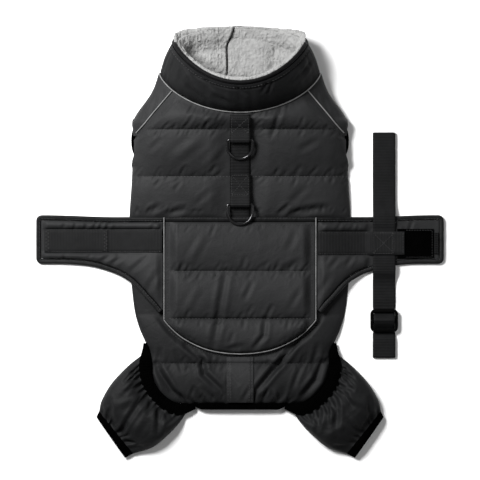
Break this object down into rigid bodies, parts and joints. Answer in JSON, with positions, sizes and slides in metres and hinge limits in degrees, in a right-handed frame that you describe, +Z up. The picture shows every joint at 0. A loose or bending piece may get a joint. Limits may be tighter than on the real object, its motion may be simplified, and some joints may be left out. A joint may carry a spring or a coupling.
{
  "type": "dog winter coat",
  "caption": "Quilted winter coat for a dog, laid flat with its back up: fleece-lined stand-up collar, saddle with girth wings, hind legs and a harness strap with D-rings.",
  "frame": {"origin": "on the surface that the coat lies on, under the middle of its outline", "axes": "+Y from the hind legs towards the collar, +X to the side of the loose girth strap, +Z up out of the coat's back"},
  "size_m": [0.428, 0.4525, 0.0741],
  "materials": {
    "shell": "satin quilted nylon",
    "fleece": "curly sherpa fleece",
    "elastic": "matte elastic binding",
    "webbing": "ribbed nylon webbing",
    "hook": "hook tape",
    "piping": "reflective cord",
    "buckle": "moulded acetal",
    "ring": "black gloss plating"
  },
  "bodies": {
    "coat": {"back_panel": "shell", "shoulder_left": "shell", "shoulder_right": "shell", "rear_panel": "shell", "belly_panel": "shell", "collar_shell": "shell", "saddle_panel": "shell", "wing_left": "shell", "wing_right": "shell", "saddle_binding": "shell", "tail_strip": "shell", "leg_left": "shell", "leg_right": "shell", "collar_lining": "fleece", "throat_lap": "fleece", "collar_binding": "elastic", "armhole_binding_left": "elastic", "armhole_binding_right": "elastic", "hem_band": "elastic", "leg_elastic_left": "elastic", "leg_elastic_right": "elastic", "cuff_left": "elastic", "cuff_right": "elastic", "collar_piping": "piping", "raglan_piping_left": "piping", "raglan_piping_right": "piping", "saddle_piping_left": "piping", "saddle_piping_right": "piping", "saddle_piping_curve": "piping", "wing_strip_left_inner": "webbing", "wing_strip_left_outer": "webbing", "wing_strip_right": "webbing", "pull_tab": "webbing", "girth_strap": "webbing", "harness_strap": "webbing", "ring_loop_upper": "webbing", "ring_loop_lower": "webbing", "hook_patch": "hook", "slider": "buckle"},
    "ring_upper": {"d_ring_upper": "ring"},
    "ring_lower": {"d_ring_lower": "ring"}
  },
  "joints": [
    {"name": "ring_upper_hinge", "type": "hinge", "parent": "coat", "child": "ring_upper", "pos_m": [0, 0.10599, 0.03573], "axis": [-1, 0, 0], "range_deg": [0, 150]},
    {"name": "ring_lower_hinge", "type": "hinge", "parent": "coat", "child": "ring_lower", "pos_m": [0, 0.03933, 0.0178], "axis": [-1, 0, 0], "range_deg": [0, 150]}
  ]
}
